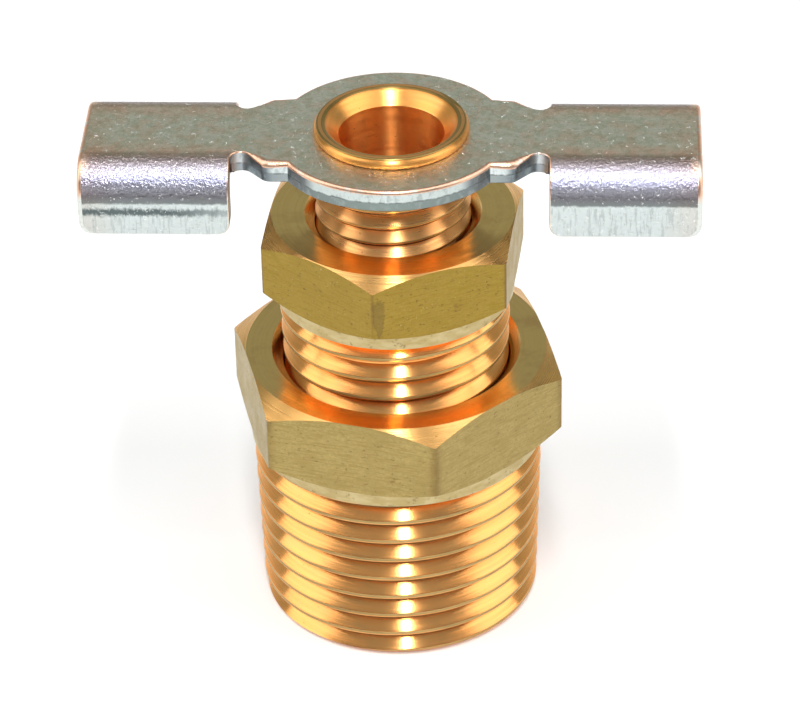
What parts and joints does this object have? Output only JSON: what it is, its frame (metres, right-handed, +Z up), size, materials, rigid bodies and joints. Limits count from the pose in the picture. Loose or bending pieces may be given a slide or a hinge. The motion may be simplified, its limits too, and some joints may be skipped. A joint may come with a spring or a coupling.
{
  "type": "drain cock",
  "caption": "Brass drain cock with a hollow threaded stem and a folded sheet-steel wing handle, screwed into a hex reducing bushing with a tapered pipe thread.",
  "frame": {"origin": "centre of the bushing's lower end, on the stem's axis", "axes": "+Z up along the stem, +X along the wing handle"},
  "size_m": [0.0362, 0.02, 0.0327],
  "materials": {
    "bushing_brass": "turned and drawn",
    "body_brass": "turned and drawn",
    "stem_brass": "turned",
    "ring_rubber": "smooth",
    "plated_steel": "dull plating, sheared edges"
  },
  "bodies": {
    "fitting": {"hex_bushing": "bushing_brass", "valve_body": "body_brass"},
    "seal": {"seal_ring": "ring_rubber"},
    "screw": {"stem": "stem_brass", "wing_handle": "plated_steel"}
  },
  "joints": [
    {"name": "stem_travel", "type": "slide", "parent": "fitting", "child": "seal", "axis": [0, 0, 1], "range_m": [-0.00292, 0]},
    {"name": "handle_turn", "type": "hinge", "parent": "seal", "child": "screw", "pos_m": [0, 0, 0.0321], "axis": [0, 0, 1], "range_deg": [-990, 0]}
  ],
  "couplings": [
    {"joint": "stem_travel", "follows": "handle_turn", "m_per_rad": 0.00016844}
  ]
}
